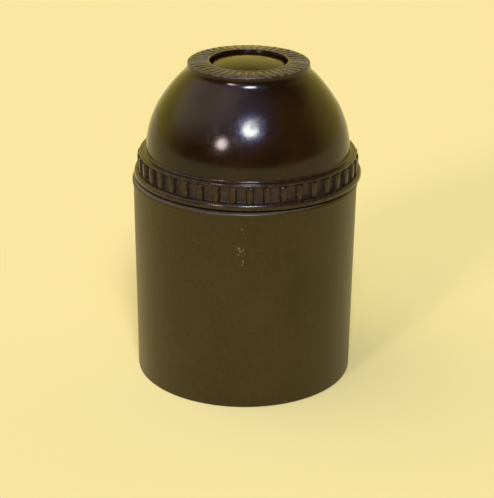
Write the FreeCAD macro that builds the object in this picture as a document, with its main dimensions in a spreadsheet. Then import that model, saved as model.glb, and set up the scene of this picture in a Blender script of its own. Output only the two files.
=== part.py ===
import FreeCAD, Part
import Sketcher
import math
import os
import re

# Pendant lamp holder for an E27 screw lamp: a moulded skirt and cap round a porcelain block.
# It stands on the skirt's open mouth. Origin: centre of the mouth. +Z: up the skirt's axis.
# All sizes are in millimetres and degrees.

SIZES = {
    # screw shell
    "sheet": 0.35,
    "shell_radius": 13.35,
    "shell_mouth_flare": 0.25,
    "shell_mouth_tall": 3.0,
    "shell_length": 25.0,
    # porcelain block
    "block_rim_margin": 1.85,
    "block_rim_tall": 4.85,
    "block_boss_rise": 3.0,
    "thread_depth": 1.1,
    "nose_gap": 0.45,
    "nose_drop": 2.75,
    "screw_hole_gap": 0.25,
    "screw_hole_spare": 0.5,
    # brass strips
    "strip_thick": 1.2,
    "strip_width": 6.0,
    "strip_chamfer": 1.8,
    "strip_parting": 5.0,
    "riser_gap": 0.15,
    "riser_clear": 0.4,
    # rivets and screws
    "rivet_shank_radius": 0.8,
    "rivet_head_radius": 1.1,
    "rivet_head_tall": 0.7,
    "rivet_gap": 0.05,
    "contact_margin": 1.5,
    "contact_shank_radius": 1.4,
    "contact_head_radius": 2.3,
    "contact_head_tall": 0.8,
    "screw_shank_radius": 1.7,
    "screw_shank_long": 7.0,
    "screw_head_radius": 2.9,
    "screw_head_tall": 2.1,
    "screw_head_edge": 0.4,
    "screw_slot_width": 0.8,
    "screw_slot_deep": 1.0,
    "screw_gap": 0.05,
    "plate_side": 5.8,
    "plate_thick": 0.9,
    "plate_margin": 0.6,
    "plate_hole_gap": 0.15,
    # contact tongue
    "tongue_thick": 0.45,
    "tongue_width": 5.6,
    "tongue_play": 0.35,
    "tongue_hole_gap": 0.2,
    "tongue_tail": 2.1,
    "tongue_flat": 2.3,
    "tongue_tip": 1.2,
    "tongue_drop": 2.7,
    "tongue_curl": 1.2,
    "tongue_curl_rise": 0.6,
    # skirt
    "skirt_height": 41.4,
    "skirt_wall": 2.2,
    "skirt_taper": 0.45,
    "skirt_edge": 0.4,
    "lip_stand": 0.2,
    "lip_tall": 1.2,
    "web_thick": 1.7,
    "web_hole_gap": 0.65,
    "seat_rise": 1.3,
    "seat_width": 1.5,
    "neck_bore_gap": 0.4,
    "neck_wall": 1.45,
    "neck_rise": 4.3,
    # cap
    "cap_shift": 0.5,
    "cap_gap": 0.5,
    "thread_play": 0.15,
    "thread_wall": 1.8,
    "flange_stand": 0.65,
    "flange_tall": 1.25,
    "flange_edge": 0.3,
    "flange_overhang": 0.1,
    "collar_tall": 3.9,
    "lintel_tall": 0.85,
    "rib_stand": 0.4,
    "rib_count": 42,
    "rib_width": 1.45,
    "rib_depth": 0.75,
    "rib_phase": -1.2,
    "ledge_overlap": 0.8,
    "shoulder_width": 1.7,
    "dome_waist_inset": 2.45,
    "dome_waist_rise": 9.0,
    "dome_lower_arc": 20.0,
    "dome_upper_inset": 5.9,
    "dome_upper_arc": 30.0,
    "dome_rise": 16.2,
    "cap_wall_rise": 4.5,
    "cap_wall_slope": 3.5,
    "crown_wall": 2.65,
    "crown_tall": 1.8,
    "crown_edge": 0.3,
    "crown_slope": 0.3,
    "crown_rim": 0.5,
    "crown_width": 4.35,
    "notch_count": 36,
    "notch_width": 0.9,
    "notch_depth": 0.55,
    "recess_depth": 2.0,
    "groove_width": 0.7,
    "button_drop": 0.7,
    "button_curve": 35.4,
    "button_wall": 2.4,
    "button_rim": 1.8,
}

doc = FreeCAD.newDocument("LampHolder")
sheet = doc.addObject("Spreadsheet::Sheet", "Sizes")
for row, (alias, size) in enumerate(SIZES.items(), start=1):
    sheet.set(f"A{row}", alias)
    sheet.set(f"B{row}", str(size))
    sheet.setAlias(f"B{row}", alias)
doc.recompute()

WORD = re.compile(r"[a-z][a-z_]*")

# Radii worked out from the shell outwards, as formulas of the sheet's aliases.
shell_outer = "(shell_radius + sheet)"
mouth_radius = "(shell_radius + shell_mouth_flare)"
nose_radius = "(shell_radius - thread_depth - nose_gap)"
rivet_circle = f"({shell_outer} + rivet_head_radius + rivet_gap)"
rivet_hole = "(rivet_shank_radius + rivet_gap)"
block_radius = f"({rivet_circle} + rivet_head_radius + block_rim_margin)"
riser_outer = f"({rivet_circle} - rivet_head_radius - riser_clear)"
riser_inner = f"({riser_outer} - strip_thick)"
boss_radius = f"({riser_inner} - riser_gap)"
web_hole = f"({shell_outer} + web_hole_gap)"
neck_bore = f"({block_radius} + neck_bore_gap)"
seat_inner = f"({neck_bore} - seat_width)"
neck_radius = f"({neck_bore} + neck_wall)"
thread_bore = f"({neck_radius} + cap_shift + thread_play)"
collar_radius = f"({thread_bore} + thread_wall)"
flange_radius = f"({collar_radius} + flange_stand)"
lip_radius = f"({flange_radius} - flange_overhang)"
skirt_radius = f"({lip_radius} - lip_stand)"
ledge_radius = f"({block_radius} - ledge_overlap)"
dome_radius = f"({collar_radius} - shoulder_width)"
waist_radius = f"({dome_radius} - dome_waist_inset)"
lintel_radius = f"({collar_radius} - rib_stand)"
crown_radius = f"({waist_radius} - dome_upper_inset)"
recess_radius = f"({crown_radius} - crown_width)"
button_radius = f"({recess_radius} - groove_width)"
entry_radius = f"({button_radius} - button_rim)"
contact_hole = "(contact_shank_radius + rivet_gap)"
contact_place = f"({nose_radius} - contact_head_radius - contact_margin)"
plate_half = "(plate_side / 2)"
screw_place = f"({boss_radius} - {plate_half} - plate_margin)"
screw_hole = "(screw_shank_radius + screw_gap)"
strip_half = "(strip_width / 2)"

# Levels worked out upwards from the mouth.
seat_level = "(skirt_height - sheet)"
web_top = f"({seat_level} - seat_rise)"
web_base = f"({web_top} - web_thick)"
shell_mouth = "(skirt_height - shell_length)"
tube_base = f"({shell_mouth} + shell_mouth_tall)"
nose_base = "(skirt_height - nose_drop)"
tongue_top = f"({nose_base} - tongue_play)"
tongue_base = f"({tongue_top} - tongue_thick)"
neck_top = "(skirt_height + neck_rise)"
rim_top = "(skirt_height + block_rim_tall)"
boss_top = f"({rim_top} + block_boss_rise)"
strip_top = f"({boss_top} + strip_thick)"
plate_top = f"({strip_top} + plate_thick)"
flange_base = "(skirt_height + cap_gap)"
flange_top = f"({flange_base} + flange_tall)"
collar_top = f"({flange_top} + collar_tall)"
rib_top = f"({collar_top} - lintel_tall)"
dome_waist = f"({collar_top} + dome_waist_rise)"
dome_top = f"({collar_top} + dome_rise)"
inner_top = f"({dome_top} - crown_wall)"
crown_top = f"({dome_top} + crown_tall)"
crown_shoulder = f"({crown_top} - crown_slope)"
recess_base = f"({crown_top} - recess_depth)"
button_edge = f"({crown_top} - button_drop)"
button_rise = f"(button_curve - sqrt(button_curve^2 - {button_radius}^2))"
button_top = f"({button_edge} + {button_rise})"


def inSheet(formula):
    """The formula with each alias read from the sheet."""
    return WORD.sub(lambda m: f"Sizes.{m.group()}" if m.group() in SIZES else m.group(), formula)


def number(formula):
    """What a formula gives now."""
    return float(sheet.evalExpression(inSheet(formula)))


def newBody(label):
    body = doc.addObject("PartDesign::Body", label)
    body.Label = label
    return body


def newSketch(body, name, plane, level="0", turn="0"):
    """A sketch on one of the body's planes, raised along its normal and turned about it."""
    sketch = body.newObject("Sketcher::SketchObject", name)
    role = [f for f in body.Origin.OriginFeatures if f.Role == plane][0]
    sketch.AttachmentSupport = [(role, "")]
    sketch.MapMode = "FlatFace"
    sketch.setExpression(".AttachmentOffset.Base.z", inSheet(level))
    sketch.setExpression(".AttachmentOffset.Rotation.Yaw", inSheet(turn))
    return sketch


def pin(sketch, element, vertex, place):
    """Holds a vertex at a place given by two formulas."""
    for kind, formula, axis in (("DistanceX", place[0], -2), ("DistanceY", place[1], -1)):
        if formula == "0":
            sketch.addConstraint(Sketcher.Constraint("PointOnObject", element, vertex, axis))
        else:
            size = Sketcher.Constraint(kind, -1, 1, element, vertex, number(formula))
            index = sketch.addConstraint(size)
            sketch.setExpression(f"Constraints[{index}]", inSheet(formula))


def arcBetween(start, end, radius, side):
    """An arc from start to end; side 1 has its centre on the left of the way there, -1 on the right."""
    a, b = (start, end) if side > 0 else (end, start)
    half = (b - a).multiply(0.5)
    across = FreeCAD.Vector(-half.y, half.x, 0).normalize()
    centre = a + half + across.multiply(math.sqrt(radius ** 2 - half.Length ** 2))
    first = math.atan2(a.y - centre.y, a.x - centre.x)
    last = math.atan2(b.y - centre.y, b.x - centre.x)
    return Part.ArcOfCircle(Part.Circle(centre, FreeCAD.Vector(0, 0, 1), radius), first, last)


def drawOutline(sketch, corners, arcs=None):
    """A closed outline through the corners; arcs maps an edge to its radius and side."""
    arcs = arcs or {}
    points = [FreeCAD.Vector(number(x), number(y), 0) for x, y in corners]
    count = len(points)
    ends = []
    for i, start in enumerate(points):
        end = points[(i + 1) % count]
        if i in arcs:
            radius, side = arcs[i]
            edge = sketch.addGeometry(arcBetween(start, end, number(radius), side), False)
            index = sketch.addConstraint(Sketcher.Constraint("Radius", edge, number(radius)))
            sketch.setExpression(f"Constraints[{index}]", inSheet(radius))
            ends.append((edge, 1, 2) if side > 0 else (edge, 2, 1))
        else:
            edge = sketch.addGeometry(Part.LineSegment(start, end), False)
            ends.append((edge, 1, 2))
    for i, (edge, first, last) in enumerate(ends):
        following, joined, _ = ends[(i + 1) % count]
        sketch.addConstraint(Sketcher.Constraint("Coincident", edge, last, following, joined))
        pin(sketch, edge, first, corners[i])


def drawCircle(sketch, x, y, radius):
    centre = FreeCAD.Vector(number(x), number(y), 0)
    circle = Part.Circle(centre, FreeCAD.Vector(0, 0, 1), number(radius))
    edge = sketch.addGeometry(circle, False)
    pin(sketch, edge, 3, (x, y))
    index = sketch.addConstraint(Sketcher.Constraint("Radius", edge, number(radius)))
    sketch.setExpression(f"Constraints[{index}]", inSheet(radius))


def revolve(body, corners, arcs=None):
    """Turns an outline of radii and levels about the body's own Z axis."""
    sketch = newSketch(body, f"{body.Name}_section", "XZ_Plane")
    drawOutline(sketch, corners, arcs)
    turned = body.newObject("PartDesign::Revolution", f"{body.Name}_turned")
    turned.Profile = sketch
    turned.ReferenceAxis = (sketch, ["V_Axis"])
    turned.Angle = 360
    doc.recompute()
    return turned


def pad(body, sketch, length, midplane=False):
    raised = body.newObject("PartDesign::Pad", f"{sketch.Name}_pad")
    raised.Profile = sketch
    raised.setExpression("Length", inSheet(length))
    raised.Midplane = midplane
    doc.recompute()
    return raised


def cut(body, sketch, depth, upward=False):
    """Cuts the sketch's outlines downward, or upward, to a depth."""
    before = body.Shape.Volume
    hole = body.newObject("PartDesign::Pocket", f"{sketch.Name}_cut")
    hole.Profile = sketch
    hole.Type = "Length"
    hole.setExpression("Length", inSheet(depth))
    hole.Reversed = upward
    doc.recompute()
    if not body.Shape.Volume < before:
        raise RuntimeError(f"{sketch.Name} cuts nothing from {body.Label}")
    return hole


def repeatRound(body, feature, count):
    """Repeats a cut round the body's Z axis."""
    pattern = body.newObject("PartDesign::PolarPattern", f"{feature.Name}_round")
    pattern.Originals = [feature]
    pattern.Axis = (feature.Profile[0], ["N_Axis"])
    pattern.Angle = 360
    pattern.setExpression("Occurrences", inSheet(count))
    body.Tip = pattern
    doc.recompute()
    return pattern


def makeSkirt():
    body = newBody("skirt")
    lip_base = "(skirt_height - lip_tall)"
    revolve(body, [
        (f"{skirt_radius} - skirt_taper - skirt_edge", "0"),
        (f"{skirt_radius} - skirt_taper", "skirt_edge"),
        (skirt_radius, lip_base),
        (lip_radius, f"{lip_base} + lip_stand"),
        (lip_radius, "skirt_height"),
        (neck_radius, "skirt_height"),
        (neck_radius, neck_top),
        (neck_bore, neck_top),
        (neck_bore, seat_level),
        (seat_inner, seat_level),
        (seat_inner, web_top),
        (web_hole, web_top),
        (web_hole, web_base),
        (f"{skirt_radius} - skirt_taper - skirt_wall", web_base),
        (f"{skirt_radius} - skirt_taper - skirt_wall", "0"),
    ])
    return body


def makeCap():
    body = newBody("cap")
    revolve(body, [
        (thread_bore, flange_base),
        (flange_radius, flange_base),
        (flange_radius, f"{flange_top} - flange_edge"),
        (f"{flange_radius} - flange_edge", flange_top),
        (collar_radius, flange_top),
        (collar_radius, rib_top),
        (lintel_radius, rib_top),
        (lintel_radius, collar_top),
        (dome_radius, collar_top),
        (waist_radius, dome_waist),
        (crown_radius, dome_top),
        (crown_radius, f"{crown_shoulder} - crown_edge"),
        (f"{crown_radius} - crown_edge", crown_shoulder),
        (recess_radius, crown_top),
        (recess_radius, recess_base),
        (button_radius, recess_base),
        (button_radius, button_edge),
        ("0", button_top),
        ("0", f"{button_top} - button_wall"),
        (entry_radius, f"{button_top} - button_wall"),
        (entry_radius, inner_top),
        (f"{entry_radius} + cap_wall_slope", inner_top),
        (ledge_radius, f"{rim_top} + cap_wall_rise"),
        (ledge_radius, rim_top),
        (thread_bore, rim_top),
    ], {
        8: ("dome_lower_arc", 1),
        9: ("dome_upper_arc", 1),
        16: ("button_curve", 1),
    })
    # grip windows between the collar's ribs
    gap_half = f"((2 * pi * {collar_radius} / rib_count - rib_width) / 2)"
    floor = f"({collar_radius} - rib_depth)"
    window = newSketch(body, "window", "XY_Plane", flange_top, "rib_phase")
    drawOutline(window, [
        (floor, f"-{gap_half}"),
        (flange_radius, f"-{gap_half}"),
        (flange_radius, gap_half),
        (floor, gap_half),
    ])
    opened = cut(body, window, "collar_tall - lintel_tall", upward=True)
    repeatRound(body, opened, "rib_count")
    # plain radial notches on the crown
    notch = newSketch(body, "notch", "XY_Plane", crown_top)
    drawOutline(notch, [
        (f"{recess_radius} + crown_rim", "-notch_width / 2"),
        (f"{crown_radius} + crown_edge", "-notch_width / 2"),
        (f"{crown_radius} + crown_edge", "notch_width / 2"),
        (f"{recess_radius} + crown_rim", "notch_width / 2"),
    ])
    opened = cut(body, notch, "notch_depth")
    repeatRound(body, opened, "notch_count")
    body.setExpression(".Placement.Base.x", inSheet("cap_shift"))
    return body


def makeScrewShell():
    """A drawn tube with a flared mouth and a flange; its rolled thread is left plain."""
    body = newBody("screw_shell")
    revolve(body, [
        (mouth_radius, shell_mouth),
        (mouth_radius, tube_base),
        ("shell_radius", tube_base),
        ("shell_radius", "skirt_height"),
        (block_radius, "skirt_height"),
        (block_radius, seat_level),
        (shell_outer, seat_level),
        (shell_outer, f"{tube_base} - sheet"),
        (f"{mouth_radius} + sheet", f"{tube_base} - sheet"),
        (f"{mouth_radius} + sheet", shell_mouth),
    ])
    holes = newSketch(body, "flange_holes", "XY_Plane", "skirt_height")
    drawCircle(holes, rivet_circle, "0", rivet_hole)
    drawCircle(holes, f"-{rivet_circle}", "0", rivet_hole)
    cut(body, holes, "sheet")
    return body


def makeInsertBlock():
    body = newBody("insert_block")
    revolve(body, [
        ("0", nose_base),
        (nose_radius, nose_base),
        (nose_radius, "skirt_height"),
        (block_radius, "skirt_height"),
        (block_radius, rim_top),
        (boss_radius, rim_top),
        (boss_radius, boss_top),
        ("0", boss_top),
    ])
    through = newSketch(body, "rivet_holes", "XY_Plane", boss_top)
    drawCircle(through, rivet_circle, "0", rivet_hole)
    drawCircle(through, f"-{rivet_circle}", "0", rivet_hole)
    drawCircle(through, "0", f"-{contact_place}", contact_hole)
    cut(body, through, f"{boss_top} - {nose_base}")
    blind = newSketch(body, "screw_holes", "XY_Plane", boss_top)
    drawCircle(blind, screw_place, "0", "screw_shank_radius + screw_hole_gap")
    drawCircle(blind, f"-{screw_place}", "0", "screw_shank_radius + screw_hole_gap")
    cut(body, blind, "screw_shank_long - plate_thick - strip_thick + screw_hole_spare")
    return body


def makeLiveTerminal():
    """A flat elbow from the contact rivet round to the live screw."""
    body = newBody("live_terminal")
    outside = f"({screw_place} + {plate_half})"
    inside = f"({screw_place} - {plate_half})"
    tail = f"({contact_place} + contact_head_radius)"
    root = f"({contact_place} - contact_head_radius)"
    plan = newSketch(body, "elbow", "XY_Plane", boss_top)
    drawOutline(plan, [
        (f"-{strip_half}", f"-{tail}"),
        (f"{strip_half} - strip_chamfer + contact_head_radius", f"-{tail}"),
        (outside, f"-{strip_half}"),
        (outside, strip_half),
        (inside, strip_half),
        (inside, f"strip_chamfer - {strip_half}"),
        (f"{strip_half} - strip_chamfer", f"-{root}"),
        (f"-{strip_half}", f"-{root}"),
    ])
    pad(body, plan, "strip_thick")
    holes = newSketch(body, "live_holes", "XY_Plane", strip_top)
    drawCircle(holes, "0", f"-{contact_place}", contact_hole)
    drawCircle(holes, screw_place, "0", screw_hole)
    cut(body, holes, "strip_thick")
    return body


def makeNeutralTerminal():
    """A stepped strip from the shell's rivet up the boss and in to the neutral screw."""
    body = newBody("neutral_terminal")
    foot_end = f"-({rivet_circle} + rivet_head_radius)"
    side = newSketch(body, "step", "XZ_Plane")
    drawOutline(side, [
        (foot_end, rim_top),
        (f"-{riser_inner}", rim_top),
        (f"-{riser_inner}", boss_top),
        ("-strip_parting", boss_top),
        ("-strip_parting", strip_top),
        (f"-{riser_outer}", strip_top),
        (f"-{riser_outer}", f"{rim_top} + strip_thick"),
        (foot_end, f"{rim_top} + strip_thick"),
    ])
    pad(body, side, "strip_width", midplane=True)
    holes = newSketch(body, "neutral_holes", "XY_Plane", strip_top)
    drawCircle(holes, f"-{rivet_circle}", "0", rivet_hole)
    drawCircle(holes, f"-{screw_place}", "0", screw_hole)
    cut(body, holes, f"{strip_top} - {rim_top}")
    return body


def makeRivet(label, x, y, base, top, shank, head, head_tall):
    """A headed rivet between two levels: a head under the lower and one over the upper."""
    body = newBody(label)
    revolve(body, [
        ("0", f"{base} - {head_tall}"),
        (head, f"{base} - {head_tall}"),
        (head, base),
        (shank, base),
        (shank, top),
        (head, top),
        (head, f"{top} + {head_tall}"),
        ("0", f"{top} + {head_tall}"),
    ])
    body.setExpression(".Placement.Base.x", inSheet(x))
    body.setExpression(".Placement.Base.y", inSheet(y))
    return body


def makeScrew(label, x):
    """A slotted clamp screw, its head on the clamp plate."""
    body = newBody(label)
    head_top = f"({plate_top} + screw_head_tall)"
    revolve(body, [
        ("0", f"{plate_top} - screw_shank_long"),
        ("screw_shank_radius", f"{plate_top} - screw_shank_long"),
        ("screw_shank_radius", plate_top),
        ("screw_head_radius", plate_top),
        ("screw_head_radius", f"{head_top} - screw_head_edge"),
        ("screw_head_radius - screw_head_edge", head_top),
        ("0", head_top),
    ])
    slot = newSketch(body, f"{label}_slot", "XY_Plane", head_top)
    drawOutline(slot, [
        ("-screw_head_radius", "-screw_slot_width / 2"),
        ("screw_head_radius", "-screw_slot_width / 2"),
        ("screw_head_radius", "screw_slot_width / 2"),
        ("-screw_head_radius", "screw_slot_width / 2"),
    ])
    cut(body, slot, "screw_slot_deep")
    body.setExpression(".Placement.Base.x", inSheet(x))
    return body


def makeClampPlate(label, x):
    body = newBody(label)
    plan = newSketch(body, f"{label}_plan", "XY_Plane", strip_top)
    drawOutline(plan, [
        (f"-{plate_half}", f"-{plate_half}"),
        (plate_half, f"-{plate_half}"),
        (plate_half, plate_half),
        (f"-{plate_half}", plate_half),
    ])
    drawCircle(plan, "0", "0", "screw_shank_radius + plate_hole_gap")
    pad(body, plan, "plate_thick")
    body.setExpression(".Placement.Base.x", inSheet(x))
    return body


def makeCentreContact():
    """The sprung tongue: flat under the block, bent down to a tip on the axis, its end curled up."""
    body = newBody("centre_contact")
    curl_level = "tongue_drop - tongue_curl_rise"
    run = [
        (f"-{contact_place} - tongue_tail", "0"),
        (f"-{contact_place} + tongue_flat", "0"),
        ("-tongue_tip", "tongue_drop"),
        ("tongue_tip", "tongue_drop"),
        ("tongue_tip + tongue_curl", curl_level),
    ]
    upper = [(y, f"{tongue_top} - ({drop})") for y, drop in run]
    lower = [(y, f"{tongue_base} - ({drop})") for y, drop in reversed(run)]
    side = newSketch(body, "tongue_side", "YZ_Plane")
    drawOutline(side, upper + lower)
    pad(body, side, "tongue_width", midplane=True)
    hole = newSketch(body, "tongue_hole", "XY_Plane", tongue_top)
    drawCircle(hole, "0", f"-{contact_place}", "contact_shank_radius + tongue_hole_gap")
    cut(body, hole, "tongue_thick")
    return body


bodies = [
    makeSkirt(),
    makeCap(),
    makeScrewShell(),
    makeInsertBlock(),
    makeLiveTerminal(),
    makeNeutralTerminal(),
    makeRivet("contact_rivet", "0", f"-{contact_place}", f"({tongue_base} - tongue_play)", strip_top,
              "contact_shank_radius", "contact_head_radius", "contact_head_tall"),
    makeRivet("shell_rivet_left", f"-{rivet_circle}", "0", seat_level, f"({rim_top} + strip_thick)",
              "rivet_shank_radius", "rivet_head_radius", "rivet_head_tall"),
    makeRivet("shell_rivet_right", rivet_circle, "0", seat_level, rim_top,
              "rivet_shank_radius", "rivet_head_radius", "rivet_head_tall"),
    makeScrew("terminal_screw_live", screw_place),
    makeScrew("terminal_screw_neutral", f"-{screw_place}"),
    makeClampPlate("clamp_plate_live", screw_place),
    makeClampPlate("clamp_plate_neutral", f"-{screw_place}"),
    makeCentreContact(),
]

doc.recompute()
for item in doc.Objects:
    if "Invalid" in item.State or "Error" in item.State:
        raise RuntimeError(f"{item.Name} failed: {item.State}")
for body in bodies:
    if body.Shape.isNull() or not body.Shape.isValid() or len(body.Shape.Solids) != 1:
        raise RuntimeError(f"{body.Label} is not one valid solid")

os.makedirs("parts", exist_ok=True)
for body in bodies:
    body.Shape.exportStep(f"parts/{body.Label}.step")
    print(f"{body.Label}: {body.Shape.Volume:.1f} mm3")
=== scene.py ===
import math
import bpy
from mathutils import Matrix, Vector


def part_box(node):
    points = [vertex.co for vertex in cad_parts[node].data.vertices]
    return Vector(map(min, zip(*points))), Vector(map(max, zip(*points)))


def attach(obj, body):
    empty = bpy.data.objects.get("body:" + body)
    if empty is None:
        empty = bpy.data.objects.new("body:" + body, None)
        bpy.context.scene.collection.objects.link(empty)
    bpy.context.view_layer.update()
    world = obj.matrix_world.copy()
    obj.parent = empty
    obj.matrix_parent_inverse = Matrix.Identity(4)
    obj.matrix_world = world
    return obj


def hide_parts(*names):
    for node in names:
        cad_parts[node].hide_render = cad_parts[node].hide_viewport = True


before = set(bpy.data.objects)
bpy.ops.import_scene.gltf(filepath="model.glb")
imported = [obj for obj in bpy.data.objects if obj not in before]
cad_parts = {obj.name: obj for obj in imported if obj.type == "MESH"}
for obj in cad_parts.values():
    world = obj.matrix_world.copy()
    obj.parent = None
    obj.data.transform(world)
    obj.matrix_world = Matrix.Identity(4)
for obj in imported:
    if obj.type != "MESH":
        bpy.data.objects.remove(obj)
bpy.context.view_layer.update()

mm = 0.001
mergeReach = 0.002 * mm

# levels and axes that the frame gives
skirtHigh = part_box("skirt")[1]
capLow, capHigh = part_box("cap")
shellLow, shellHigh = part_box("screw_shell")
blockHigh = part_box("insert_block")[1]
capAxis = (capLow.x + capHigh.x) / 2


def clearSelection():
    if bpy.context.object and bpy.context.object.mode != "OBJECT":
        bpy.ops.object.mode_set(mode="OBJECT")
    bpy.ops.object.select_all(action="DESELECT")


def editMode(piece):
    clearSelection()
    piece.select_set(True)
    bpy.context.view_layer.objects.active = piece
    bpy.ops.object.mode_set(mode="EDIT")


def selectFaces(piece, test):
    # test gets a face's centre and normal
    bpy.ops.mesh.select_mode(type="FACE")
    bpy.ops.mesh.select_all(action="DESELECT")
    bpy.ops.object.mode_set(mode="OBJECT")
    for face in piece.data.polygons:
        face.select = test(face.center, face.normal)
    bpy.ops.object.mode_set(mode="EDIT")


def lathe(name, rings, segments, axis=(0.0, 0.0), closed=True):
    # a wall turned about a vertical axis: one circle, extruded from ring to ring
    clearSelection()
    radius, level = rings[0]
    bpy.ops.mesh.primitive_circle_add(vertices=segments, radius=radius, location=(axis[0], axis[1], level))
    piece = bpy.context.object
    piece.name = piece.data.name = name
    bpy.ops.object.transform_apply(location=True, rotation=True, scale=True)
    bpy.ops.object.mode_set(mode="EDIT")
    bpy.ops.mesh.select_mode(type="VERT")
    bpy.ops.mesh.select_all(action="SELECT")
    for nextRadius, nextLevel in rings[1:]:
        bpy.ops.mesh.extrude_region_move(TRANSFORM_OT_translate={"value": (0, 0, nextLevel - level)})
        grow = nextRadius / radius
        bpy.ops.transform.resize(value=(grow, grow, 1), center_override=(axis[0], axis[1], nextLevel))
        radius, level = nextRadius, nextLevel
    if closed:
        bpy.ops.mesh.select_all(action="SELECT")
        bpy.ops.mesh.remove_doubles(threshold=mergeReach)
    bpy.ops.mesh.select_all(action="SELECT")
    bpy.ops.mesh.normals_make_consistent(inside=False)
    bpy.ops.object.mode_set(mode="OBJECT")
    return piece


def applyModifier(piece, kind, **settings):
    clearSelection()
    piece.select_set(True)
    bpy.context.view_layer.objects.active = piece
    modifier = piece.modifiers.new(kind.lower(), kind)
    for key, setting in settings.items():
        setattr(modifier, key, setting)
    bpy.ops.object.modifier_apply(modifier=modifier.name)


def joinPieces(piece, others):
    # the others go into the first piece's mesh
    clearSelection()
    for other in others:
        other.select_set(True)
    piece.select_set(True)
    bpy.context.view_layer.objects.active = piece
    bpy.ops.object.join()


def copyTurned(piece, angle, axis):
    # a copy with its own mesh, turned about a vertical axis
    clearSelection()
    piece.select_set(True)
    bpy.context.view_layer.objects.active = piece
    bpy.ops.object.duplicate()
    copy = bpy.context.object
    bpy.ops.object.mode_set(mode="EDIT")
    bpy.ops.mesh.select_all(action="SELECT")
    bpy.ops.transform.rotate(value=angle, orient_axis="Z", center_override=(axis[0], axis[1], 0))
    bpy.ops.object.mode_set(mode="OBJECT")
    return copy


def smooth(piece, angle):
    clearSelection()
    piece.select_set(True)
    bpy.context.view_layer.objects.active = piece
    bpy.ops.object.shade_smooth_by_angle(angle=math.radians(angle))


def arcRings(start, end, radius, steps):
    # points along an arc between two (radius, level) points, with its centre on the left of the way
    a, b = Vector(start), Vector(end)
    half = (b - a) / 2
    across = Vector((-half.y, half.x)).normalized()
    centre = a + half + across * math.sqrt(radius ** 2 - half.length ** 2)
    first = math.atan2(a.y - centre.y, a.x - centre.x)
    last = math.atan2(b.y - centre.y, b.x - centre.x)
    sweep = (last - first) % math.tau
    return [(centre.x + radius * math.cos(first + sweep * i / steps),
             centre.y + radius * math.sin(first + sweep * i / steps)) for i in range(steps + 1)]


def roundedRings(corners, segments=3):
    # each corner is (radius, level, fillet); a fillet of 0 stays sharp
    rings = []
    count = len(corners)
    for i, (r, z, fillet) in enumerate(corners):
        here = Vector((r, z))
        before = Vector(corners[(i - 1) % count][:2])
        after = Vector(corners[(i + 1) % count][:2])
        if not fillet:
            rings.append((r, z))
            continue
        toBefore, toAfter = (before - here).normalized(), (after - here).normalized()
        opening = toBefore.angle(toAfter)
        reach = fillet / math.tan(opening / 2)
        centre = here + (toBefore + toAfter).normalized() * (fillet / math.sin(opening / 2))
        startPoint, endPoint = here + toBefore * reach, here + toAfter * reach
        first, last = startPoint - centre, endPoint - centre
        for step in range(segments + 1):
            mixed = first.normalized().slerp(last.normalized(), step / segments) * fillet
            rings.append((centre.x + mixed.x, centre.y + mixed.y))
    return rings


class Socket:
    # wraps a node's output so that materials can be written as sums
    def __init__(self, tree, link):
        self.tree = tree
        self.link = link

    def node(self, kind, settings=None, inputs=None, output=0):
        made = self.tree.nodes.new(kind)
        for key, setting in (settings or {}).items():
            setattr(made, key, setting)
        for key, given in (inputs or {}).items():
            if isinstance(given, Socket):
                self.tree.links.new(given.link, made.inputs[key])
            elif given is not None:
                made.inputs[key].default_value = given
        return Socket(self.tree, made.outputs[output])

    def maths(self, operation, first, second):
        return self.node("ShaderNodeMath", {"operation": operation}, {0: first, 1: second})

    def __add__(self, other):
        return self.maths("ADD", self, other)

    def __radd__(self, other):
        return self.maths("ADD", other, self)

    def __sub__(self, other):
        return self.maths("SUBTRACT", self, other)

    def __rsub__(self, other):
        return self.maths("SUBTRACT", other, self)

    def __mul__(self, other):
        return self.maths("MULTIPLY", self, other)

    def __rmul__(self, other):
        return self.maths("MULTIPLY", other, self)

    def clamp(self, low, high):
        return self.node("ShaderNodeClamp", None, {"Value": self, "Min": low, "Max": high})

    def span(self, low, high, toLow=0.0, toHigh=1.0):
        # maps low..high to toLow..toHigh, held at both ends
        return self.node("ShaderNodeMapRange", {"interpolation_type": "SMOOTHSTEP"},
                         {"Value": self, "From Min": low, "From Max": high,
                          "To Min": toLow, "To Max": toHigh})

    def mix(self, first, second):
        # two colours mixed by this mask
        first, second = ((*c, 1) if isinstance(c, tuple) else c for c in (first, second))
        return self.node("ShaderNodeMix", {"data_type": "RGBA"}, {0: self, 6: first, 7: second}, 2)


def newMaterial(name, fixed):
    # a Principled material with its fixed sockets set, its Object coordinates and its shader
    material = bpy.data.materials.new(name)
    material.use_nodes = True
    tree = material.node_tree
    shader = tree.nodes["Principled BSDF"]
    for key, setting in fixed.items():
        shader.inputs[key].default_value = setting
    start = Socket(tree, None)
    place = start.node("ShaderNodeTexCoord", output=3)
    return material, shader, start, place


def feed(shader, start, **links):
    # what varies over the surface
    names = {"colour": "Base Color", "roughness": "Roughness", "normal": "Normal"}
    for key, socket in links.items():
        start.tree.links.new(socket.link, shader.inputs[names[key]])


def noise(start, place, scale, detail, roughness, stretch=None):
    if stretch:
        place = start.node("ShaderNodeMapping", None, {"Vector": place, "Scale": stretch})
    return start.node("ShaderNodeTexNoise", None,
                      {"Vector": place, "Scale": scale, "Detail": detail, "Roughness": roughness})


def bump(start, height, depth, strength, under=None):
    # under is the bump that this one lies on
    return start.node("ShaderNodeBump", None, {"Strength": strength, "Distance": depth,
                                               "Height": height, "Normal": under})


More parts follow.
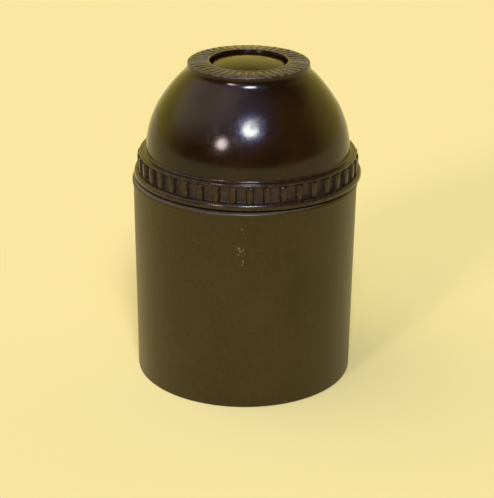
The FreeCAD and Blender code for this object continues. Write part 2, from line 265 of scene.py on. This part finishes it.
skirtFinish = {
    "colour": (0.0330, 0.0190, 0.0010),
    "paler": (0.0450, 0.0280, 0.0040),
    "darker": (0.0240, 0.0135, 0.0006),
    # a painted highlight along the lip's top edge: its tone and the levels it spans
    "lipHighlightTone": (0.150, 0.125, 0.105),
    "lipHighlightFrom": 41.10 * mm,
    "lipHighlightTo": 41.38 * mm,
    "lipHighlightFade": 0.1 * mm,
    "roughness": 0.35,
    "cloudScale": 70,
    "grainScale": 1400,
    "drawnScale": 260,
    "drawnStretch": (1, 1, 0.08),
    "grainDepth": 0.04 * mm,
    "drawnDepth": 0.10 * mm,
}


def makeSkirtPlastic():
    # satin phenolic: fine mottling, mould lines and a paler band painted along the lip's top edge as a
    # highlight
    s = skirtFinish
    material, shader, start, place = newMaterial("skirtPlastic", {"IOR": 1.5, "Specular IOR Level": 0.34})
    cloud = noise(start, place, s["cloudScale"], 5, 0.6)
    fleck = noise(start, place, s["grainScale"], 2, 0.5)
    drawn = noise(start, place, s["drawnScale"], 3, 0.5, s["drawnStretch"])
    level = start.node("ShaderNodeSeparateXYZ", None, {"Vector": place}, 2)
    tone = cloud.span(0.3, 0.72).mix(s["darker"], s["colour"])
    tone = fleck.span(0.52, 0.75, 0.0, 0.55).mix(tone, s["paler"])
    # a paler tone painted on the lip's rounded top edge where it catches the light: a painted highlight
    above = level.span(s["lipHighlightTo"], s["lipHighlightTo"] + s["lipHighlightFade"])
    paintedHighlight = level.span(s["lipHighlightFrom"], s["lipHighlightTo"]) * (1 - above)
    tone = (paintedHighlight * cloud.span(0.3, 0.65, 0.15, 0.65)).mix(tone, s["lipHighlightTone"])
    rough = s["roughness"] + cloud * 0.12 + drawn * 0.10 - 0.08
    grain = bump(start, fleck, s["grainDepth"], 0.35)
    surface = bump(start, drawn + cloud * 0.6, s["drawnDepth"], 0.25, grain)
    feed(shader, start, colour=tone, roughness=rough.clamp(0.2, 0.8), normal=surface)
    return material


scarFinish = {
    "pale": (0.105, 0.088, 0.058),
    "dark": (0.040, 0.030, 0.014),
    "roughness": 0.30,
    "chipScale": 1800,
    "chipDepth": 0.06 * mm,
}


def makeScarPlastic():
    # broken phenolic, paler than the moulded skin
    s = scarFinish
    material, shader, start, place = newMaterial("scarPlastic", {"IOR": 1.5})
    chips = noise(start, place, s["chipScale"], 3, 0.6)
    tone = chips.span(0.35, 0.65).mix(s["dark"], s["pale"])
    rough = s["roughness"] + chips * 0.3
    feed(shader, start, colour=tone, roughness=rough, normal=bump(start, chips, s["chipDepth"], 0.6))
    return material


capFinish = {
    "colour": (0.0090, 0.0036, 0.0010),
    "browner": (0.0185, 0.0072, 0.0016),
    "groove": (0.0150, 0.0052, 0.0026),
    "grooveRadius": 21.55 * mm,
    "collarTop": 45.90 * mm,
    # the collar's lighter tone, partly dust and partly painted sheen, and the level it reaches up to
    "dust": (0.060, 0.045, 0.028),
    "dustAndSheenTop": 47.2 * mm,
    "crownDust": (0.088, 0.068, 0.052),
    "crownLevel": 64.50 * mm,
    # a pale tone painted on the crown's bar tops as a highlight, and the level it starts at
    "paintedHighlight": (0.130, 0.102, 0.074),
    "barHighlightLevel": 64.90 * mm,
    "ringRadius": 7.8 * mm,
    "fade": 0.2 * mm,
    "roughness": 0.13,
    "cloudScale": 95,
    "dustScale": 900,
    "rubScale": 330,
    "rippleDepth": 0.22 * mm,
    "dustDepth": 0.03 * mm,
}


def makeCapPlastic():
    # glossy phenolic: nearly black, with brown clouds, dull grooves between the ribs, a collar lightened by
    # dust and painted sheen, and a painted highlight on the crown's bar tops
    s = capFinish
    material, shader, start, place = newMaterial("capPlastic", {"IOR": 1.5, "Specular IOR Level": 0.36})
    cloud = noise(start, place, s["cloudScale"], 5, 0.6)
    dust = noise(start, place, s["dustScale"], 3, 0.6)
    rub = noise(start, place, s["rubScale"], 4, 0.6)
    centred = start.node("ShaderNodeMapping", None, {"Vector": place, "Location": (-capAxis, 0, 0)})
    flat = start.node("ShaderNodeVectorMath", {"operation": "MULTIPLY"}, {0: centred, 1: (1, 1, 0)})
    reach = start.node("ShaderNodeVectorMath", {"operation": "LENGTH"}, {0: flat}, 1)
    level = start.node("ShaderNodeSeparateXYZ", None, {"Vector": place}, 2)
    fade = s["fade"]
    beyondGroove = reach.span(s["grooveRadius"], s["grooveRadius"] + fade)
    overCollar = level.span(s["collarTop"], s["collarTop"] + fade)
    groove = (1 - beyondGroove) * (1 - overCollar)
    tone = cloud.span(0.35, 0.7).mix(s["colour"], s["browner"])
    tone = groove.mix(tone, s["groove"])
    # the collar and flange are lightened in speckled patches: settled dust and painted sheen together
    dustAndSheenMask = (1 - level.span(s["dustAndSheenTop"] - fade, s["dustAndSheenTop"])) * dust.span(0.42, 0.62, 0.08, 0.30)
    tone = dustAndSheenMask.mix(tone, s["dust"])
    ring = reach.span(s["ringRadius"], s["ringRadius"] + 1.5 * fade)
    crown = level.span(s["crownLevel"], s["crownLevel"] + fade) * ring
    lodged = crown * dust.span(0.35, 0.62, 0.15, 0.75)
    tone = lodged.mix(tone, s["crownDust"])
    # the tops of the crown's bars get a pale painted highlight, in patches
    barTops = level.span(s["barHighlightLevel"], s["barHighlightLevel"] + 0.5 * fade) * ring
    paintedHighlight = barTops * rub.span(0.35, 0.65, 0.2, 0.8)
    tone = paintedHighlight.mix(tone, s["paintedHighlight"])
    rough = s["roughness"] + rub.span(0.5, 0.72) * 0.10 + dust * 0.05
    rough = rough + groove * 0.35 + paintedHighlight * 0.15 + lodged * 0.2
    ripple = bump(start, cloud, s["rippleDepth"], 0.22)
    fine = bump(start, dust, s["dustDepth"], 0.25, ripple)
    feed(shader, start, colour=tone, roughness=rough.clamp(0.08, 0.7), normal=fine)
    return material


metalGrain = {"patchScale": 190, "speckScale": 1500, "speckDepth": 0.03 * mm}
metalFinish = {
    "shellBrass": {"bright": (0.62, 0.43, 0.17), "dull": (0.33, 0.22, 0.09), "roughness": 0.30},
    "contactBronze": {"bright": (0.66, 0.44, 0.22), "dull": (0.36, 0.22, 0.10), "roughness": 0.26},
    "screwBrass": {"bright": (0.70, 0.52, 0.24), "dull": (0.40, 0.28, 0.12), "roughness": 0.24},
}


def makeMetal(name):
    # brass that has dulled in patches
    s = metalFinish[name]
    material, shader, start, place = newMaterial(name, {"Metallic": 1.0})
    patch = noise(start, place, metalGrain["patchScale"], 5, 0.62)
    speck = noise(start, place, metalGrain["speckScale"], 3, 0.6)
    tone = patch.span(0.36, 0.66).mix(s["bright"], s["dull"])
    rough = s["roughness"] + patch.span(0.4, 0.7) * 0.22 + speck * 0.08
    pitted = bump(start, speck, metalGrain["speckDepth"], 0.3)
    feed(shader, start, colour=tone, roughness=rough.clamp(0.1, 0.8), normal=pitted)
    return material


porcelainFinish = {
    "glaze": (0.74, 0.70, 0.60),
    "stain": (0.56, 0.50, 0.38),
    "speck": (0.30, 0.24, 0.17),
    "roughness": 0.22,
    "cloudScale": 120,
    "speckScale": 1100,
    "cloudDepth": 0.2 * mm,
}


def makePorcelain():
    # glazed white ware with faint stains and iron specks
    s = porcelainFinish
    fixed = {"IOR": 1.5, "Coat Weight": 0.6, "Coat Roughness": 0.08}
    material, shader, start, place = newMaterial("glazedPorcelain", fixed)
    cloud = noise(start, place, s["cloudScale"], 4, 0.55)
    speck = noise(start, place, s["speckScale"], 3, 0.6)
    tone = cloud.span(0.45, 0.75).mix(s["glaze"], s["stain"])
    tone = speck.span(0.66, 0.74).mix(tone, s["speck"])
    rough = s["roughness"] + cloud * 0.2
    wavy = bump(start, cloud, s["cloudDepth"], 0.2)
    feed(shader, start, colour=tone, roughness=rough.clamp(0.1, 0.7), normal=wavy)
    return material


skirtPlastic = makeSkirtPlastic()
scarPlastic = makeScarPlastic()
capPlastic = makeCapPlastic()
shellBrass = makeMetal("shellBrass")
contactBronze = makeMetal("contactBronze")
screwBrass = makeMetal("screwBrass")
glazedPorcelain = makePorcelain()
print("materials made")


def finishPiece(piece, material, body, nodes):
    # the piece's material, the body it rides on and the nodes it stands for
    piece.data.materials.clear()
    piece.data.materials.append(material)
    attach(piece, body)
    if nodes:
        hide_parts(*nodes)


skirtShape = {
    "segments": 192,
    "taper": 0.45 * mm,
    "wall": 2.2 * mm,
    "lipStand": 0.2 * mm,
    "lipTall": 1.2 * mm,
    "lipRound": 0.55 * mm,
    "neckRise": 4.3 * mm,
    "neckInset": 3.0 * mm,
    "neckWall": 1.45 * mm,
    "webThick": 1.7 * mm,
    "webHole": 14.35 * mm,
    "seatDrop": 0.35 * mm,
    "seatDepth": 1.65 * mm,
    "seatWidth": 1.5 * mm,
    "threadPitch": 2.0 * mm,
    "threadStand": 0.4 * mm,
    "threadRoot": 0.15 * mm,
    "threadLow": 0.9 * mm,
    "threadFoot": 0.5,
    "threadCrest": 0.35,
    "threadSteps": 128,
}


def makeSkirtShell():
    s = skirtShape
    lipRadius = skirtHigh.x
    top = skirtHigh.z - s["neckRise"]
    outer = lipRadius - s["lipStand"]
    inner = outer - s["taper"] - s["wall"]
    neck = lipRadius - s["neckInset"]
    bore = neck - s["neckWall"]
    seat = top - s["seatDrop"]
    webTop = top - s["seatDepth"]
    webBase = webTop - s["webThick"]
    rings = roundedRings([  # radius, level and rounding of each corner
        (outer - s["taper"], 0, 0.4 * mm),
        (outer, top - s["lipTall"], 0.3 * mm),
        (lipRadius, top - s["lipTall"] + s["lipStand"], 0.1 * mm),
        (lipRadius, top, s["lipRound"]),
        (neck, top, 0.15 * mm),
        (neck, top + s["neckRise"], 0.3 * mm),
        (bore, top + s["neckRise"], 0.3 * mm),
        (bore, seat, 0),
        (bore - s["seatWidth"], seat, 0),
        (bore - s["seatWidth"], webTop, 0.15 * mm),
        (s["webHole"], webTop, 0.3 * mm),
        (s["webHole"], webBase, 0.3 * mm),
        (inner, webBase, 0.5 * mm),
        (inner, 0, 0.5 * mm),
    ], 4)
    piece = lathe("skirtShell", rings + [rings[0]], s["segments"])
    return piece, neck, top, outer


def makeNeckThread(neck, top):
    # a ridge of one turn round the neck, swept from a small blunt profile
    s = skirtShape
    root = neck - s["threadRoot"]
    crest = neck + s["threadStand"]
    foot = s["threadPitch"] * s["threadFoot"]
    clearSelection()
    bpy.ops.mesh.primitive_plane_add(size=1, location=(0, 0, 0), rotation=(math.pi / 2, 0, 0))
    ridge = bpy.context.object
    ridge.name = "neckThread"
    bpy.ops.object.transform_apply(location=True, rotation=True, scale=True)
    for vertex in ridge.data.vertices:
        outside, upper = vertex.co.x > 0, vertex.co.z > 0
        half = foot * (s["threadCrest"] if outside else 1) / 2
        level = top + s["threadLow"] + (half if upper else -half)
        vertex.co = (crest if outside else root, 0, level)
    bpy.ops.object.mode_set(mode="EDIT")
    bpy.ops.mesh.select_all(action="SELECT")
    bpy.ops.mesh.delete(type="ONLY_FACE")
    bpy.ops.object.mode_set(mode="OBJECT")
    applyModifier(ridge, "SCREW", axis="Z", angle=math.tau, screw_offset=s["threadPitch"], iterations=1,
                  steps=s["threadSteps"], render_steps=s["threadSteps"], use_merge_vertices=False)
    editMode(ridge)
    bpy.ops.mesh.select_all(action="SELECT")
    bpy.ops.mesh.fill_holes(sides=4)
    bpy.ops.mesh.select_all(action="SELECT")
    bpy.ops.mesh.normals_make_consistent(inside=False)
    bpy.ops.object.mode_set(mode="OBJECT")
    return ridge


gateMark = {
    "proud": 0.16 * mm,
    "sunk": 0.03 * mm,
    # each fleck's place along x and z, then its half sizes, in mm
    "flecks": (
        (-0.45, 38.1, 0.26, 0.22), (-0.15, 37.3, 0.14, 0.24), (-0.55, 38.9, 0.12, 0.2),
        (-1.05, 34.2, 0.32, 0.3), (-0.75, 33.6, 0.42, 0.22), (-0.12, 33.9, 0.16, 0.42),
        (0.06, 33.2, 0.12, 0.2), (-1.15, 32.9, 0.3, 0.16), (-0.5, 32.7, 0.16, 0.14),
        (-0.25, 31.4, 0.2, 0.42), (-0.4, 30.8, 0.2, 0.16),
    ),
}


def makeGateMark(outer, top):
    # little raised flecks where the moulding was broken from its sprue
    s = gateMark
    flecks = []
    for x, z, wide, tall in s["flecks"]:
        radius = outer - skirtShape["taper"] * (1 - z * mm / top)
        front = s["sunk"] - math.sqrt(radius ** 2 - (x * mm) ** 2)
        clearSelection()
        bpy.ops.mesh.primitive_ico_sphere_add(subdivisions=2, radius=1, location=(x * mm, front, z * mm))
        fleck = bpy.context.object
        fleck.scale = (wide * mm, s["proud"], tall * mm)
        bpy.ops.object.transform_apply(location=True, rotation=True, scale=True)
        flecks.append(fleck)
    return flecks


def makeSkirt():
    piece, neck, top, outer = makeSkirtShell()
    joinPieces(piece, [makeNeckThread(neck, top)])
    smooth(piece, 35)
    finishPiece(piece, skirtPlastic, "skirt", ["skirt"])
    flecks = makeGateMark(outer, top)
    joinPieces(flecks[0], flecks[1:])
    flecks[0].name = flecks[0].data.name = "gateMark"
    smooth(flecks[0], 35)
    finishPiece(flecks[0], scarPlastic, "skirt", [])
    print("skirt made", len(piece.data.polygons))


makeSkirt()

capShape = {
    "segments": 252,
    "flangeTall": 1.25 * mm,
    "flangeStand": 1.05 * mm,
    "gapDeep": 0.35 * mm,
    "gapTall": 3.05 * mm,
    "lintelTall": 0.60 * mm,
    "lintelRound": 0.26 * mm,
    "shoulder": 1.3 * mm,
    "waistInset": 2.45 * mm,
    "waistRise": 9.25 * mm,
    "lowerArc": 20.0 * mm,
    "upperInset": 5.9 * mm,
    "upperArc": 30.0 * mm,
    "domeRise": 16.45 * mm,
    "crownSweep": 2.6 * mm,
    "crownWall": 1.5 * mm,
    "crownRaise": 0.05 * mm,
    "crownRound": 0.24 * mm,
    "crownWidth": 4.35 * mm,
    "crownSlope": 0.12 * mm,
    "rim": 0.5 * mm,
    "rimLean": 0.1 * mm,
    "recessDepth": 2.0 * mm,
    "groove": 0.7 * mm,
    "buttonDrop": 0.7 * mm,
    "buttonCurve": 35.4 * mm,
    "bore": 20.3 * mm,
    "ledge": 17.0 * mm,
    "ledgeTall": 4.5 * mm,
    "bossTall": 3.0 * mm,
    "ceiling": 2.4 * mm,
    "entry": 5.2 * mm,
    "entryDeep": 2.05 * mm,
    "hollow": 8.7 * mm,
    "pole": 0.05 * mm,  # the turned wall starts this far from its axis
    "shy": 0.01 * mm,  # the top stays this far under its box
}


def makeCapShell():
    s = capShape
    flange = (capHigh.x - capLow.x) / 2
    base, top = capLow.z, capHigh.z
    flangeTop = base + s["flangeTall"]
    lintel = flange - s["flangeStand"]
    gap = lintel - s["gapDeep"]
    gapTop = flangeTop + s["gapTall"]
    collarTop = gapTop + s["lintelTall"]
    dome = lintel - s["shoulder"]
    waist = dome - s["waistInset"]
    neck = waist - s["upperInset"]
    waistLevel = collarTop + s["waistRise"]
    domeTop = collarTop + s["domeRise"]
    annulus = domeTop + s["crownWall"] + s["crownRaise"]
    recess = neck - s["crownWidth"]
    button = recess - s["groove"]
    floor = top - s["recessDepth"]
    buttonEdge = top - s["buttonDrop"]
    rim = recess + s["rim"]
    crest = top - s["shy"]
    ceiling = top - s["ceiling"]
    roof = ceiling - s["entryDeep"]
    ledgeLevel = blockHigh.z - s["bossTall"]
    lower = arcRings((dome, collarTop), (waist, waistLevel), s["lowerArc"], 12)
    upper = arcRings((waist, waistLevel), (neck, domeTop), s["upperArc"], 12)
    crownTop = arcRings((button, buttonEdge), (s["pole"], crest), s["buttonCurve"], 6)
    rings = roundedRings([  # radius, level and rounding of each corner
        (s["bore"], base, 0.15 * mm),
        (flange, base, 0.3 * mm),
        (flange, flangeTop, 0.55 * mm),
        (gap, flangeTop, 0.15 * mm),
        (gap, gapTop, 0.1 * mm),
        (lintel, gapTop, 0.12 * mm),
        (lintel, collarTop, s["lintelRound"]),
        (dome, collarTop, 0.35 * mm),
        *((r, z, 0) for r, z in lower[1:]),
        *((r, z, 0) for r, z in upper[1:-2]),
        (neck, domeTop, s["crownSweep"]),
        (neck, annulus, s["crownRound"]),
        (rim, annulus + s["crownSlope"], 0.08 * mm),
        (rim - s["rimLean"], crest, 0.1 * mm),
        (recess, crest, 0.15 * mm),
        (recess, floor, 0.15 * mm),
        (button, floor, 0.15 * mm),
        (button, buttonEdge, 0.12 * mm),
        *((r, z, 0) for r, z in crownTop[1:]),
        (s["pole"], ceiling, 0),
        (s["entry"], ceiling, 0.2 * mm),
        (s["entry"], roof, 0.3 * mm),
        (s["hollow"], roof, 0.3 * mm),
        (s["ledge"], ledgeLevel + s["ledgeTall"], 1.0 * mm),
        (s["ledge"], ledgeLevel, 0.2 * mm),
        (s["bore"], ledgeLevel, 0.2 * mm),
    ], 4)
    piece = lathe("capShell", rings + [rings[0]], s["segments"], (capAxis, 0.0))
    return piece, gap, flangeTop, gapTop, annulus, recess


ribShape = {
    "count": 42,
    "width": 1.45 * mm,
    "stand": 0.75 * mm,
    "root": 0.2 * mm,
    "overlap": 0.02 * mm,
    "narrowing": 0.86,
    "edge": 0.28 * mm,
    "first": math.radians(-91.2),
}


def makeRibs(gap, flangeTop, gapTop):
    # one rib with rounded edges, then copies round the collar
    s = ribShape
    low, high = flangeTop - s["root"], gapTop + s["overlap"]
    deep = s["stand"] + s["root"]
    middle = capAxis + gap - s["root"] + deep / 2
    clearSelection()
    bpy.ops.mesh.primitive_cube_add(size=1, location=(middle, 0, (low + high) / 2))
    rib = bpy.context.object
    rib.name = "rib"
    rib.scale = (deep, s["width"], high - low)
    bpy.ops.object.transform_apply(location=True, rotation=True, scale=True)
    editMode(rib)
    selectFaces(rib, lambda centre, normal: normal.x > 0.9)
    bpy.ops.transform.resize(value=(1, s["narrowing"], 1), center_override=(0, 0, low))
    bpy.ops.mesh.bevel(offset=s["edge"], segments=3, affect="EDGES")
    bpy.ops.mesh.select_all(action="SELECT")
    bpy.ops.mesh.normals_make_consistent(inside=False)
    bpy.ops.object.mode_set(mode="OBJECT")
    pitch = math.tau / s["count"]
    ribs = [copyTurned(rib, s["first"] + pitch * number, (capAxis, 0)) for number in range(s["count"])]
    bpy.data.objects.remove(rib)
    return ribs


barShape = {
    "places": 44,
    "width": 0.72 * mm,
    "stand": 0.10 * mm,
    "tall": 0.4 * mm,
    "outer": 11.7 * mm,
    "edge": 0.1 * mm,
    "first": 0.3,
    # where a bar starts and ends on its way out, and its share of the width, over and over
    "kinds": ((0.06, 0.94, 1.0), (0.12, 1.0, 0.8), (0.04, 0.9, 1.15), (0.1, 1.0, 0.95), (0.05, 0.96, 0.75),
              (0.14, 0.92, 1.1), (0.04, 1.0, 0.85)),
}


def makeBars(annulus, recess):
    # plain raised bars round the crown, uneven as a worn moulding is
    s = barShape
    inner = recess + capShape["rim"] - capShape["rimLean"]
    fall = capShape["crownSlope"] / (capShape["crownWidth"] - capShape["rim"])
    clearSelection()
    bpy.ops.mesh.primitive_cube_add(size=1, location=(0.5, 0, 0))
    bar = bpy.context.object
    bar.name = "bar"
    bpy.ops.object.transform_apply(location=True, rotation=True, scale=True)
    pitch = math.tau / s["places"]
    bars = []
    for number in range(s["places"]):
        start, end, width = s["kinds"][number % len(s["kinds"])]
        copy = copyTurned(bar, 0.0, (0, 0))
        long = (s["outer"] - inner) * (end - start)
        near = inner + (s["outer"] - inner) * start
        copy.scale = (long, s["width"] * width, s["tall"])
        copy.rotation_euler = (0, math.atan(fall), 0)
        level = annulus + capShape["crownSlope"] - (near - inner) * fall + s["stand"] - s["tall"] / 2
        copy.location = (capAxis + near, 0, level)
        bpy.ops.object.transform_apply(location=True, rotation=True, scale=True)
        editMode(copy)
        selectFaces(copy, lambda centre, normal: normal.z > 0.9)
        bpy.ops.mesh.bevel(offset=s["edge"], segments=2, affect="EDGES")
        bpy.ops.mesh.select_all(action="SELECT")
        bpy.ops.transform.rotate(value=pitch * (number + s["first"]), orient_axis="Z",
                                 center_override=(capAxis, 0, 0))
        bpy.ops.object.mode_set(mode="OBJECT")
        bars.append(copy)
    bpy.data.objects.remove(bar)
    return bars


def makeCap():
    piece, gap, flangeTop, gapTop, annulus, recess = makeCapShell()
    joinPieces(piece, makeRibs(gap, flangeTop, gapTop) + makeBars(annulus, recess))
    smooth(piece, 35)
    finishPiece(piece, capPlastic, "cap", ["cap"])
    print("cap made", len(piece.data.polygons))


makeCap()

shellShape = {
    "segments": 96,
    "sheet": 0.35 * mm,
    "mouthTall": 3.0 * mm,
    "mouthStep": 0.25 * mm,
    "mouthSlope": 0.3 * mm,
    "tube": 13.35 * mm,
    "threadDeep": 1.1 * mm,
    "pitch": 3.629 * mm,
    "threadLow": 3.2 * mm,
    "threadHigh": 21.6 * mm,
    "fade": 1.4 * mm,
    "stepsPerTurn": 12,
}


def makeScrewShell():
    # drawn brass with a rolled thread, a wave pressed into a plain tube
    s = shellShape
    base, top = shellLow.z, shellHigh.z
    low, high = base + s["threadLow"], base + s["threadHigh"]
    rise = s["pitch"] / s["stepsPerTurn"]
    levels = [low + rise * number for number in range(int((high - low) / rise) + 1)]
    mouth = s["tube"] + s["mouthStep"]
    flange = (shellHigh.x - shellLow.x) / 2
    rings = roundedRings([  # radius, level and rounding of each corner
        (mouth, base, 0),
        (mouth, base + s["mouthTall"] - s["mouthSlope"], 0.15 * mm),
        (s["tube"], base + s["mouthTall"], 0.15 * mm),
        *((s["tube"], level, 0) for level in levels),
        (s["tube"], top, 0.3 * mm),
        (flange, top, 0),
    ])
    piece = lathe("screwShell", rings, s["segments"], closed=False)
    for vertex in piece.data.vertices:
        x, y, z = vertex.co
        fade = min(max((z - low) / s["fade"], 0), 1) * min(max((high - z) / s["fade"], 0), 1)
        wave = 0.5 - 0.5 * math.cos(math.tau * z / s["pitch"] - math.atan2(y, x))
        shrink = 1 - fade * s["threadDeep"] * wave / s["tube"]
        vertex.co = (x * shrink, y * shrink, z)
    applyModifier(piece, "SOLIDIFY", thickness=s["sheet"], offset=-1.0, use_even_offset=True)
    smooth(piece, 50)
    finishPiece(piece, shellBrass, "insert", ["screw_shell"])
    print("screw shell made", len(piece.data.polygons))


makeScrewShell()

# finishes of the solids that stay
for node, material in {
    "insert_block": glazedPorcelain,
    "contact_rivet": screwBrass,
    "live_terminal": shellBrass,
    "neutral_terminal": shellBrass,
    "shell_rivet_left": screwBrass,
    "shell_rivet_right": screwBrass,
    "centre_contact": contactBronze,
    "clamp_plate_live": contactBronze,
    "clamp_plate_neutral": contactBronze,
    "terminal_screw_live": screwBrass,
    "terminal_screw_neutral": screwBrass,
}.items():
    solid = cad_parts[node]
    for place in range(len(solid.material_slots)):
        solid.material_slots[place].material = material
print("solids given their finishes")

stageFloor = {"size": 3.0, "colour": (0.88, 0.76, 0.34), "roughness": 0.9, "gloss": 0.1}

# a pale wall behind, a dim room in front, two broad soft glows and a narrow one round the key
surroundings = {
    "room": (0.058, 0.045, 0.024),
    "wall": (0.92, 0.73, 0.16),
    "wallFrom": -0.35,
    "wallTo": 0.45,
    "wallTop": (0.35, 0.75),
    "glows": (
        {"toward": (-0.60, 0.02, 0.80), "from": 0.68, "to": 0.98, "colour": (0.95, 0.86, 0.78)},
        {"toward": (-0.10, -0.62, 0.78), "from": 0.72, "to": 0.99, "colour": (0.22, 0.27, 0.58)},
        {"toward": (0.04, -0.74, 0.67), "from": 0.950, "to": 0.99, "colour": (0.25, 0.60, 3.20)},
    ),
}


def makeWorld():
    s = surroundings
    world = bpy.data.worlds.new("studio")
    world.use_nodes = True
    tree = world.node_tree
    start = Socket(tree, None)
    way = start.node("ShaderNodeTexCoord", output=0)

    def along(direction):
        return start.node("ShaderNodeVectorMath", {"operation": "DOT_PRODUCT"},
                          {0: way, 1: tuple(Vector(direction).normalized())}, 1)

    back = along((0, 1, 0)).span(s["wallFrom"], s["wallTo"])
    low = 1 - along((0, 0, 1)).span(*s["wallTop"])
    colour = (back * low).mix(s["room"], s["wall"])
    for glow in s["glows"]:
        shine = along(glow["toward"]).span(glow["from"], glow["to"])
        colour = start.node("ShaderNodeMix", {"data_type": "RGBA", "blend_type": "ADD"},
                            {0: shine, 6: colour, 7: (*glow["colour"], 1)}, 2)
    tree.links.new(colour.link, tree.nodes["Background"].inputs["Color"])
    bpy.context.scene.world = world


def makeStage():
    clearSelection()
    s = stageFloor
    bpy.ops.mesh.primitive_plane_add(size=s["size"], location=(0, 0, 0))
    floor = bpy.context.object
    floor.name = "floor"
    fixed = {"Base Color": (*s["colour"], 1), "Roughness": s["roughness"], "Specular IOR Level": s["gloss"]}
    floor.data.materials.append(newMaterial("paleFloor", fixed)[0])


# degrees round from the front to the right, and degrees up; spread is how wide a lamp looks, in degrees
lampAway = 0.7
lamps = {
    "key": {"round": 3, "up": 42, "spread": 16, "strength": 2.6, "colour": (0.92, 0.95, 0.86)},
    "small": {"round": -32, "up": 23, "spread": 11, "strength": 0.90, "colour": (1.0, 0.80, 0.80)},
}


def makeLamps():
    for name, lamp in lamps.items():
        light = bpy.data.lights.new(name, "SUN")
        light.angle = math.radians(lamp["spread"])
        light.energy = lamp["strength"]
        light.color = lamp["colour"]
        holder = bpy.data.objects.new(name, light)
        bpy.context.scene.collection.objects.link(holder)
        side, up = math.radians(lamp["round"]), math.radians(lamp["up"])
        toLamp = Vector((math.sin(side) * math.cos(up), -math.cos(side) * math.cos(up), math.sin(up)))
        holder.location = toLamp * lampAway
        holder.rotation_euler = (-toLamp).to_track_quat("-Z", "Y").to_euler()


view = {
    "elevation": math.radians(22.306),
    "distance": 328.59 * mm,
    "roll": math.radians(0.523),
    "aim": (0.504 * mm, 0.0, 25.01 * mm),
    "lens": 115.7754217,
    "sensor": 36,
    "nearest": 0.01,
}


def makeCamera():
    camera = bpy.data.cameras.new("camera")
    camera.lens = view["lens"]
    camera.sensor_width = view["sensor"]
    camera.clip_start = view["nearest"]
    holder = bpy.data.objects.new("camera", camera)
    bpy.context.scene.collection.objects.link(holder)
    up, away = view["elevation"], view["distance"]
    turned = Matrix.Rotation(math.pi / 2 - up, 4, "X") @ Matrix.Rotation(view["roll"], 4, "Z")
    place = Vector(view["aim"]) + Vector((0, -away * math.cos(up), away * math.sin(up)))
    holder.matrix_world = Matrix.Translation(place) @ turned
    bpy.context.scene.camera = holder


makeWorld()
makeStage()
makeLamps()
makeCamera()
bpy.context.scene.view_settings.view_transform = "Standard"
print("stage, lamps and camera made")
